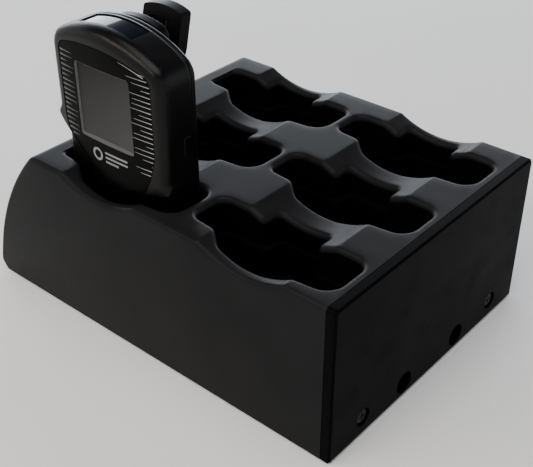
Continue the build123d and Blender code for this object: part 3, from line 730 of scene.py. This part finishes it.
def unit_outline():
    """The whole unit seen from the front, with rounded foot corners."""
    top = arch(UNIT_HALF, UNIT_TOP, TOP_R, CORNER_R, TOP_X, OUTLINE_STEP)
    foot = [top[-1], (-UNIT_HALF, UNIT_FOOT), (UNIT_HALF, UNIT_FOOT), top[0]]
    return top[:-1] + stepped(rounded_run(foot, [FOOT_R, FOOT_R]), 1.4, closed=False)[:-1]


def lens_outline(grow=0.0):
    """The lens seen from the front: arched top and a swept foot, grown outwards by a margin."""
    top = arch(LENS_HALF, LENS_TOP, LENS_ARCH_R, 5.0, LENS_ARCH_X, OUTLINE_STEP)
    foot = [top[-1], (-LENS_HALF, 98.5), (-25.3, 92.7), (-1.8, 74.2), (19.9, 78.5), (24.0, 86.5)]
    foot += [(LENS_HALF, 97), top[0]]
    run = stepped(rounded_run(foot, [9, 9, 15.2, 1.8, 20, 12]), OUTLINE_STEP, closed=False)
    loop = top[:-1] + run[:-1]
    return [tuple(p) for p in np.array(loop) + normals_of(loop) * grow]


def lcd_outline(grow=0.0):
    """The display's opening in the lens, grown outwards by a margin."""
    (u0, z0), (u1, z1) = [(u + way * grow, z + way * grow) for u, z, way in zip(LCD_U, LCD_Z, (-1, 1))]
    corners = [(u0, z0), (u1, z0), (u1, z1), (u0, z1)]
    return rounded_loop(corners, [1.8] * 4)


def grid_spots(loops, step_u, step_z, gap):
    """A grid of points inside the first loop and outside the others, clear of all of them."""
    low, high = np.min(loops[0], axis=0), np.max(loops[0], axis=0)
    us, zs = np.arange(low[0], high[0], step_u), np.arange(low[1], high[1], step_z)
    spots = np.array([(u, z) for u in us for z in zs])
    spots = spots[within(spots, loops[0])]
    for loop in loops[1:]:
        spots = spots[~within(spots, loop)]
    for loop in loops:
        spots = spots[clear_of(spots, loop, gap)]
    return [tuple(s) for s in spots]


def add_sides(skin, loop, steps, holes=lambda i, row: False):
    """Walls that follow an outline. Each step is (inset, place), and facing turns from its neighbours."""
    out = normals_of(loop)
    rows = []
    for inset, place in steps:
        inset = np.broadcast_to(inset, len(loop))
        rows.append([place(i, *point) for i, point in enumerate(np.array(loop) - out * inset[:, None])])
    for row, (first, second) in enumerate(zip(rows, rows[1:])):
        for i in range(len(loop)):
            j = (i + 1) % len(loop)
            if not holes(i, row):
                way = Vector(second[i]) - Vector(first[i])
                along = Vector(first[j]) - Vector(first[i])
                if along.length < 1e-9:
                    along = Vector(second[j]) - Vector(second[i])
                facing = way.cross(along)
                skin.add([first[i], first[j], second[j], second[i]], facing)
    return rows


def shoulder_steps(radii, front):
    """Steps of add_sides round a quarter-round shoulder, from the face back to the side walls."""
    steps = []
    for k in range(9):
        angle = math.pi / 2 * k / 8
        inset, depth = radii * (1 - math.sin(angle)), radii * (1 - math.cos(angle))
        steps.append((inset, lambda i, u, z, d=depth: (DOCK_X + u, front(u) + d[i], z)))
    return steps


def add_front_block(skin):
    """The raised block with its recesses for the lens and the window."""
    loop = block_outline()
    radii = np.array([shoulder_radius(u, z) for u, z in loop])
    steps = shoulder_steps(radii, face_y)
    first_y = [face_y(u) + r - DOCK_Y for (u, _), r in zip(loop, radii)]
    levels = [WINDOW_Y[0], -1.4, KEY_Y[0], 3.9, KEY_Y[1], WINDOW_Y[1], 7.0]
    for level in levels:
        steps.append((0.0, lambda i, u, z, y=level: (DOCK_X + u, DOCK_Y + max(y, first_y[i]), z)))
    steps.append((0.22, ring_on(on_plane(JOINT_Y))))
    top = [i for i, (u, z) in enumerate(loop) if z > 130 and spans(WINDOW_U, u)]
    key = [i for i, (u, z) in enumerate(loop) if u > UNIT_HALF - 0.1 and spans(KEY_Z, z)]
    window_rows, key_rows = range(9, 14), range(11, 13)
    holes = {(i, row) for i in top[:-1] for row in window_rows}
    holes |= {(i, row) for i in key[:-1] for row in key_rows}
    rows = add_sides(skin, loop, steps, lambda i, row: (i, row) in holes)
    lens = lens_outline(0.12)
    skin.fill([unit_loop(rows[0]), lens], on_face(0), (0, -1, 0))
    add_sides(skin, lens, [(0, ring_on(on_face(depth))) for depth in (0, LENS_FLOOR)])
    skin.fill([lens], on_face(LENS_FLOOR), (0, -1, 0), grid_spots([lens], 5, 8, 2))
    skin.fill([unit_loop(rows[-1])], on_plane(JOINT_Y), (0, 1, 0))
    us = [loop[i][0] for i in top]
    add_window_pocket(skin, us, levels[:6], 1.1)
    add_key_pocket(skin, levels[2:5], [loop[i][1] for i in key])


def add_window_pocket(skin, us, ys, depth):
    """The shallow recess in the arched top that the window sits in."""
    at, rim = under_top_point, grid_rim(us, ys)
    middle = Vector(((us[0] + us[-1]) / 2, (ys[0] + ys[-1]) / 2))
    ways = [(middle.x - u, middle.y - y, 0.0) for u, y in rim]
    skin.bridge([at(u, y, 0) for u, y in rim], [at(u, y, depth) for u, y in rim], ways, closed=True)
    for a, b in zip(us, us[1:]):
        for c, d in zip(ys, ys[1:]):
            skin.add([at(a, c, depth), at(b, c, depth), at(b, d, depth), at(a, d, depth)], (0, 0, 1))


def add_key_pocket(skin, ys, zs):
    """The opening for the side key and the wider chamber that its flange slides in."""
    rim = [(y, z) for z, y in grid_rim(zs, ys)]
    mid_y, mid_z = sum(KEY_Y) / 2, sum(KEY_Z) / 2
    wide = [(mid_y + (y - mid_y) * 2.7 / 2.15, mid_z + (z - mid_z) * 5.6 / 4.55) for y, z in rim]
    ways = [(0.0, mid_y - y, mid_z - z) for y, z in rim]

    def ring(line, u):
        return [(DOCK_X + u, DOCK_Y + y, z) for y, z in line]

    skin.bridge(ring(rim, UNIT_HALF), ring(rim, KEY_REST_X), ways, closed=True)
    skin.bridge(ring(rim, KEY_REST_X), ring(wide, KEY_REST_X), (-1, 0, 0), closed=True)
    skin.bridge(ring(wide, KEY_REST_X), ring(wide, KEY_BACK_X), ways, closed=True)
    skin.fill([wide], lambda y, z: (DOCK_X + KEY_BACK_X, DOCK_Y + y, z), (1, 0, 0))


def add_lower_block(skin):
    """The plain lower body, which stands a little inside the raised block."""
    half, front = UNIT_HALF - 0.15, DOCK_Y - 4.6
    corners = [(half, 88.0), (-half, 100.5), (-half, UNIT_FOOT), (half, UNIT_FOOT)]
    loop = rounded_loop(corners, [0, 0, 5, 5])
    radii = np.full(len(loop), 2.2)
    steps = shoulder_steps(radii, lambda u: front)
    steps += [(0.0, ring_on(on_plane(y))) for y in (0.0, 3.5, 7.2)]
    flat = [i for i, (u, z) in enumerate(loop) if z < UNIT_FOOT + 1e-6]
    rows = add_sides(skin, loop, steps, lambda i, row: row > 8 and i in flat[:-1])
    skin.fill([unit_loop(rows[0])], lambda u, v: (DOCK_X + u, front, v), (0, -1, 0))
    skin.fill([unit_loop(rows[-1])], on_plane(7.2), (0, 1, 0))
    add_pad_holes(skin, [loop[i][0] for i in flat])


def add_pad_holes(skin, us):
    """The underside between the rounded foot corners, with a well for each charging pad."""
    def at(z):
        return lambda u, y: (DOCK_X + u, DOCK_Y + y, z)

    floor = at(UNIT_FOOT + PAD_WELL_DEPTH)
    wells = [circle(u, y, PAD_WELL_R, 24) for u, y in PADS]
    skin.fill([grid_rim(us, [0.0, 3.5, 7.2]), *(ring for ring, _ in wells)], at(UNIT_FOOT), (0, 0, -1))
    for ring, inward in wells:
        low, high = ([place(*p) for p in ring] for place in (at(UNIT_FOOT), floor))
        skin.bridge(low, high, [(x, y, 0) for x, y in inward], closed=True)
        skin.fill([ring], floor, (0, 0, -1))


def front_housing(material):
    skin = Skin()
    add_front_block(skin)
    add_lower_block(skin)
    piece = mesh_piece("front_housing_skin", skin, material, "handheld", 40)
    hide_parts("front_housing")


def rear_housing(material):
    """The shallow rear cover, with a lit front edge, a round rear edge and four screw wells."""
    skin = Skin()
    loop = unit_outline()
    edge_r = 1.8
    edge_y = UNIT_BACK - edge_r
    line = [(0.75, 7.42), (0.40, 7.46), (0.12, 7.6), (0.0, 7.9), (0.0, edge_y)]
    turns = [math.pi / 2 * k / 7 for k in range(1, 8)]
    line += [(edge_r * (1 - math.cos(a)), edge_y + edge_r * math.sin(a)) for a in turns]
    steps = [(inset, ring_on(on_plane(y))) for inset, y in line]
    rows = add_sides(skin, loop, steps)
    skin.fill([unit_loop(rows[0])], on_plane(line[0][1]), (0, -1, 0))
    wells = [circle(u, z, SCREW_WELL_R, 32) for u, z in SCREWS]
    back, floor = on_plane(UNIT_BACK), on_plane(UNIT_BACK - SCREW_WELL_DEPTH)
    skin.fill([unit_loop(rows[-1]), *(ring for ring, _ in wells)], back, (0, 1, 0))
    for ring, inward in wells:
        high, low = ([place(*p) for p in ring] for place in (back, floor))
        skin.bridge(high, low, [(x, 0, z) for x, z in inward], closed=True)
        skin.fill([ring], floor, (0, 1, 0))
    piece = mesh_piece("rear_housing_skin", skin, material, "handheld", 40)
    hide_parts("rear_housing")


def window_glass(material):
    """The smoked window, sunk in its pocket, with small bevels."""
    skin = Skin()
    (u0, u1), (y0, y1) = WINDOW_U, WINDOW_Y
    us = [u0 + 0.1 + (u1 - u0 - 0.2) * i / 28 for i in range(29)]
    ys = [y0 + 0.1 + (y1 - y0 - 0.2) * i / 6 for i in range(7)]
    at = under_top_point
    bevel, rise, low = 0.16, 0.55, 1.05
    inner_us = [min(max(u, us[0] + bevel), us[-1] - bevel) for u in us]
    inner_ys = [min(max(y, ys[0] + bevel), ys[-1] - bevel) for y in ys]
    for drop, grid_u, grid_y, way in ((rise, inner_us, inner_ys, 1), (low, us, ys, -1)):
        for a, b in zip(grid_u, grid_u[1:]):
            for c, d in zip(grid_y, grid_y[1:]):
                skin.add([at(a, c, drop), at(b, c, drop), at(b, d, drop), at(a, d, drop)], (0, 0, way))

    inner, outer = grid_rim(inner_us, inner_ys), grid_rim(us, ys)
    top = [at(u, y, rise) for u, y in inner]
    edge, base = ([at(u, y, drop) for u, y in outer] for drop in (rise + bevel, low))
    middle = ((u0 + u1) / 2, (y0 + y1) / 2)
    ways = [(u - middle[0], 3 * (y - middle[1]), 1.0) for u, y in inner]
    skin.bridge(top, edge, ways, closed=True)
    skin.bridge(edge, base, [(x, y, 0.0) for x, y, _ in ways], closed=True)
    piece = mesh_piece("window_glass", skin, material, "handheld", 25)
    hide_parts("top_window")


def face_plate(lens_material, display_material):
    """The printed lens with its display opening, and the display cell behind it."""
    skin = Skin()
    outer, opening = lens_outline(), lcd_outline()
    back = LENS_FLOOR - 0.05
    turns = [math.pi / 2 * k / 4 for k in range(5)]
    lip = [(LIP_R * (1 - math.sin(a)), LENS_SINK + LIP_R * (1 - math.cos(a))) for a in turns]
    steps = [(inset, ring_on(on_face(depth))) for inset, depth in [*lip, (0.0, back)]]
    rows = add_sides(skin, outer, steps)
    front = unit_loop(rows[0])
    spots = grid_spots([front, opening], 1.5, 3.0, 0.7)
    skin.fill([front, opening], on_face(LENS_SINK), (0, -1, 0), spots)
    skin.fill([outer, opening], on_face(back), (0, 1, 0))
    add_sides(skin, opening[::-1], [(0, ring_on(on_face(depth))) for depth in (LENS_SINK, back)])
    piece = mesh_piece("face_lens_plate", skin, lens_material, "handheld", 30)
    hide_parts("face_lens")

    skin = Skin()
    edge = lcd_outline(-0.05)
    y = UNIT_FRONT + LCD_SINK
    front, back = on_plane(y), on_plane(y + 0.2)
    add_sides(skin, edge, [(0, ring_on(place)) for place in (front, back)])
    skin.fill([edge], front, (0, -1, 0))
    skin.fill([edge], back, (0, 1, 0))
    piece = mesh_piece("display_cell", skin, display_material, "handheld", 30)
    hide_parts("lcd_glass")


def display_liner(material):
    """The bevelled frame between the lens and the display cell."""
    skin = Skin()
    loop = lcd_outline(-0.04)
    back, frame_in = LENS_FLOOR - 0.1, 1.25
    steps = [(0.0, back), (0.0, 0.55), (0.15, 0.42), (frame_in, LCD_SINK - 0.12), (frame_in, back), (0.0, back)]
    add_sides(skin, loop, [(inset, ring_on(on_face(depth))) for inset, depth in steps])
    mesh_piece("display_liner", skin, material, "handheld", 40)


# ---- printed details on the lens ----

STRIPE_PITCH, STRIPE_TOP = 2.2, 129.9
ARCH_LINE_INSET = 1.1
LINE_TIP = 0.05
PRINT_RISE, PRINT_ROOT = 0.04, -0.05
RIGHT_ENDS = [14.4, 16.8, 21.4, 15.4, 16.8, 16.3, 15.4, 19.6, 16.8, 15.4]
RIGHT_ENDS += [20.0, 16.3, 15.4, 22.3, 15.9, 15.9, 20.0, 24.6, 15.9, 18.2]
LEFT_ENDS = [17.9, 18.0, 21.8, 17.9, 18.2, 21.0, 17.9, 18.0, 18.3, 17.9]
LEFT_ENDS += [18.0, 21.6, 17.9, 18.1, 20.6, 17.9, 18.2, 18.8]


def add_patch(skin, rows):
    """A thin raised patch on the lens, from rows of (u, z) that run across it, with its sides closed."""
    points, faces = skin.points, skin.faces
    start = len(points)
    width = len(rows[0])
    for height in (PRINT_ROOT, PRINT_RISE):
        for row in rows:
            points += [(DOCK_X + u, face_y(u) + LENS_SINK - height, z) for u, z in row]
    layer = len(rows) * width
    for j in range(len(rows) - 1):
        for i in range(width - 1):
            a = start + j * width + i
            faces.append((a, a + width, a + width + 1, a + 1))
            b = a + layer
            faces.append((b, b + 1, b + width + 1, b + width))
    rim = [start + i for i in range(width)]
    rim += [start + j * width + width - 1 for j in range(1, len(rows))]
    rim += [start + (len(rows) - 1) * width + i for i in range(width - 2, -1, -1)]
    rim += [start + j * width for j in range(len(rows) - 2, 0, -1)]
    for a, b in zip(rim, rim[1:] + rim[:1]):
        faces.append((a, b, b + layer, a + layer))


def taper(line, thick_start, thick_end):
    """Two rows either side of a line of (u, z), whose half width runs from one size to the other."""
    normals = normals_of(line, closed=False)
    reach = np.linspace(0, 1, len(line)) ** 0.8
    half = (thick_start + (thick_end - thick_start) * reach)[:, None]
    path = np.array(line)
    low, high = path + normals * half, path - normals * half
    return [[tuple(p) for p in low], [tuple(p) for p in high]]


def lens_edge(z, side):
    """How far out the lens reaches at a height, on one side."""
    loop = lens_outline()
    reach = [abs(u) for u, height in loop if u * side > 10 and abs(height - z) < 1.3]
    return min(reach)


def printed_stripes(material, painted_shade_print):
    """Tapered silver lines up both sides of the lens, and the long one that follows its arch. The left lines
    take a darker copy of the silver print as painted shade.
    """
    for name, side, ends, thick, paint in (
        ("face_stripes_right", 1, RIGHT_ENDS, 0.20, material),
        ("face_stripes_left", -1, LEFT_ENDS, 0.50, painted_shade_print),
    ):
        skin = Skin()
        for n, end in enumerate(ends):
            z = STRIPE_TOP - STRIPE_PITCH * n
            edge = lens_edge(z, side) - 0.45
            line = [(side * (edge + (end - edge) * i / 10), z) for i in range(11)]
            add_patch(skin, taper(line, thick, LINE_TIP))
        if side > 0:
            us = np.linspace(23.2, 10.5, 13)
            reach = LENS_ARCH_R - ARCH_LINE_INSET
            arc = [(u, LENS_TOP - LENS_ARCH_R + math.sqrt(reach**2 - (u - LENS_ARCH_X) ** 2)) for u in us]
            add_patch(skin, taper(arc, 0.24, LINE_TIP))
            short = [(24.2 - 0.6 * i, 131.9 + 0.03 * i) for i in range(9)]
            add_patch(skin, taper(short, 0.2, LINE_TIP))
        mesh_piece(name, skin, paint, "handheld")


def generic_mark(material):
    """A plain printed ring and three bars on the lens."""
    skin = Skin()
    turns = [math.tau * i / 40 for i in range(41)]
    ring = [[(-7.0 + r * math.cos(a), 88.0 + r * math.sin(a)) for a in turns] for r in (1.9, 3.0)]
    add_patch(skin, ring)
    for z, end in ((90.1, 11.0), (88.0, 11.0), (85.9, 5.5)):
        line = [(-2.2 + (end + 2.2) * i / 8, z) for i in range(9)]
        add_patch(skin, taper(line, 0.48, 0.48))
    mesh_piece("face_mark", skin, material, "handheld")


# ---- belt clip details ----

HINGE_Y, HINGE_Z = 17.0, 121.0


def add_box(skin, centre, half, lean=0.0, bevel=0.2):
    """A bevelled bar about a centre, turned by lean about X. The bevel runs round its front edge."""
    turn = Matrix.Rotation(lean, 3, "X")
    sx, sy, sz = half
    outline = rounded_loop([(-sx, -sz), (sx, -sz), (sx, sz), (-sx, sz)], [min(sx, sz) * 0.5] * 4)
    out = normals_of(outline)

    def at(u, y, z):
        return Vector(centre) + turn @ Vector((u, y, z))

    rows = []
    for inset, y in ((bevel, -sy), (0.0, -sy + bevel), (0.0, sy)):
        rows.append([at(u, y, z) for u, z in np.array(outline) - out * inset])
    ways = [turn @ Vector((n[0], -0.3, n[1])) for n in out]
    for first, second in zip(rows, rows[1:]):
        skin.bridge(first, second, ways, closed=True)
    inner = [tuple(p) for p in np.array(outline) - out * bevel]
    skin.fill([inner], lambda u, z: at(u, -sy, z), turn @ Vector((0, -1, 0)))
    skin.fill([outline], lambda u, z: at(u, sy, z), turn @ Vector((0, 1, 0)))


def clip_details(plastic, steel):
    """The leaf spring, its post and the small ribs in the hollow of the clip's thumb plate."""
    lean = math.radians(-14.3)

    def on_plate(u, z, out):
        return (DOCK_X + u, DOCK_Y + 25.9 + (z - 145.5) * 0.255 - out, z)

    skin = Skin()
    add_box(skin, on_plate(2.6, 137.0, -0.6), (0.75, 0.2, 4.2), lean, 0.08)
    mesh_piece("clip_leaf", skin, steel, "clip_arm")
    skin = Skin()
    add_box(skin, on_plate(-2.1, 139.6, 0.1), (5.4, 0.35, 0.3), lean, 0.12)
    add_box(skin, on_plate(1.0, 137.0, -0.4), (0.45, 1.0, 3.0), lean)
    add_box(skin, on_plate(4.0, 133.6, -0.1), (1.6, 0.8, 0.6), lean)
    add_box(skin, on_plate(7.6, 136.5, 0.02), (0.5, 0.15, 0.5), lean, 0.06)
    mesh_piece("clip_ribs", skin, plastic, "clip_arm")


def wound_spring(material):
    """The torsion spring round the clip's pin, with one leg on the arm and one on the bracket."""
    turns, coil_r, wire, steps = 6.25, 1.72, 0.36, 150

    def turn_point(angle, x):
        across, up = coil_r * math.sin(angle), coil_r * math.cos(angle)
        return Vector((DOCK_X + x, DOCK_Y + HINGE_Y + across, HINGE_Z + up))

    path = [turn_point(math.tau * turns * i / steps, -4.1 + 8.2 * i / steps) for i in range(steps + 1)]
    path = [path[0] + Vector((0, 0.4, -7.0)), path[0] + Vector((0, 0.15, -2.0)), *path]
    path += [path[-1] + Vector((0, 0.3, 2.0)), path[-1] + Vector((0, 1.1, 7.0))]
    skin = Skin()
    rows = []
    side = Vector((1, 0, 0))
    for i, point in enumerate(path):
        ahead = (path[min(i + 1, len(path) - 1)] - path[max(i - 1, 0)]).normalized()
        side = (side - ahead * side.dot(ahead)).normalized()
        up = ahead.cross(side)
        spokes = [side * math.cos(a) + up * math.sin(a) for a in (math.tau * k / 10 for k in range(10))]
        rows.append(([point + s * wire for s in spokes], spokes))
    for (first, spokes), (second, _) in zip(rows, rows[1:]):
        skin.bridge(first, second, spokes, closed=True)
    for ring, away in ((rows[0][0], path[0] - path[1]), (rows[-1][0], path[-1] - path[-2])):
        middle = sum(ring, Vector()) / len(ring)
        for a, b in zip(ring, ring[1:] + ring[:1]):
            skin.add([middle, a, b], away)
    piece = mesh_piece("clip_spring_wire", skin, material, "handheld", 50)
    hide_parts("clip_spring")


# ---- stage ----

SKY_STRENGTH = 1.3
SKY_STOPS = [(0.28, (0.80, 0.82, 0.86)), (0.46, (0.16, 0.19, 0.26)), (0.70, (0.05, 0.055, 0.07))]
LIGHTS = [
    ("key_warm", (-0.28, -0.85, 0.80), (0.0, 0.0, 0.08), (1.15, 0.09), 7.0, (1.0, 0.87, 0.70)),
    ("sky_cool", (-0.85, 0.88, 0.33), (0.0, 0.0, 0.06), (1.9, 0.54), 15.5, (0.84, 0.91, 1.0)),
    ("overhead", (0.25, -0.35, 1.7), (0.0, 0.0, 0.0), (1.4, 1.4), 26.0, (1.0, 0.99, 0.97)),
]
EYE = (0.25946, -0.29391, 0.29242)
LENS_MM, SENSOR_MM = 66.74, 36.0
LOOK_DOWN, LOOK_LEFT = 33.99, 40.36


def studio():
    """The pale floor, and a sky that is bright at the horizon and dark overhead."""
    floor = bpy.data.meshes.new("floor")
    bm = bmesh.new()
    bmesh.ops.create_grid(bm, x_segments=2, y_segments=2, size=3.0)
    bm.to_mesh(floor)
    bm.free()
    stage = bpy.data.objects.new("floor", floor)
    bpy.context.scene.collection.objects.link(stage)
    material, tree, shader = new_material("pale_floor")
    patches = spread(tree, noise(tree, 6, 3), 0, 1)
    tone = blend_colors(tree, patches, (0.78, 0.78, 0.78), (0.82, 0.82, 0.81))
    tree.links.new(tone, shader.inputs["Base Color"])
    set_inputs(shader, {"Roughness": 0.7})
    floor.materials.append(material)

    world = bpy.data.worlds.new("studio_sky")
    bpy.context.scene.world = world
    world.use_nodes = True
    tree = world.node_tree
    tree.nodes.clear()
    place = add_node(tree, "TexCoord").outputs["Generated"]
    height = add_node(tree, "SeparateXYZ", links={"Vector": place}).outputs["Z"]
    ramp = add_node(tree, "ValToRGB", links={"Fac": height})
    sky = add_node(tree, "Background", {"Strength": SKY_STRENGTH}, {"Color": ramp.outputs["Color"]})
    add_node(tree, "OutputWorld", links={"Surface": sky.outputs["Background"]})
    stops = ramp.color_ramp.elements
    stops[0].color, stops[1].color = (1.0, 1.0, 1.0, 1), (0.03, 0.03, 0.035, 1)
    for position, color in SKY_STOPS:
        stops.new(position).color = (*color, 1)


def area_light(name, place, target, size, power, color):
    """A rectangular light aimed at a target. Places are in metres."""
    data = bpy.data.lights.new(name, "AREA")
    data.shape = "RECTANGLE"
    data.size, data.size_y = size
    data.energy = power
    data.color = color
    light = bpy.data.objects.new(name, data)
    light.location = place
    light.rotation_euler = (Vector(target) - Vector(place)).to_track_quat("-Z", "Y").to_euler()
    bpy.context.scene.collection.objects.link(light)


def camera():
    """The viewing angle: in front, to the right and above, looking left and down."""
    data = bpy.data.cameras.new("camera")
    data.sensor_width = SENSOR_MM
    data.lens = LENS_MM
    data.clip_start = 0.01
    eye = bpy.data.objects.new("camera", data)
    eye.location = EYE
    eye.rotation_euler = (math.radians(90 - LOOK_DOWN), 0.0, math.radians(LOOK_LEFT))
    bpy.context.scene.collection.objects.link(eye)
    bpy.context.scene.camera = eye


def main():
    camera()
    studio()
    for light in LIGHTS:
        area_light(*light)
    materials = make_materials()
    dress_nodes(materials)
    shell_skin(materials["base_plastic"])
    front_housing(materials["gloss_housing"])
    rear_housing(materials["gloss_housing"])
    window_glass(materials["smoked_window"])
    face_plate(materials["printed_lens"], materials["display"])
    display_liner(materials["liner"])
    printed_stripes(materials["print"], materials["print_painted_shade"])
    generic_mark(materials["mark"])
    clip_details(materials["clip_plastic"], materials["bronze_steel"])
    wound_spring(materials["steel"])


main()
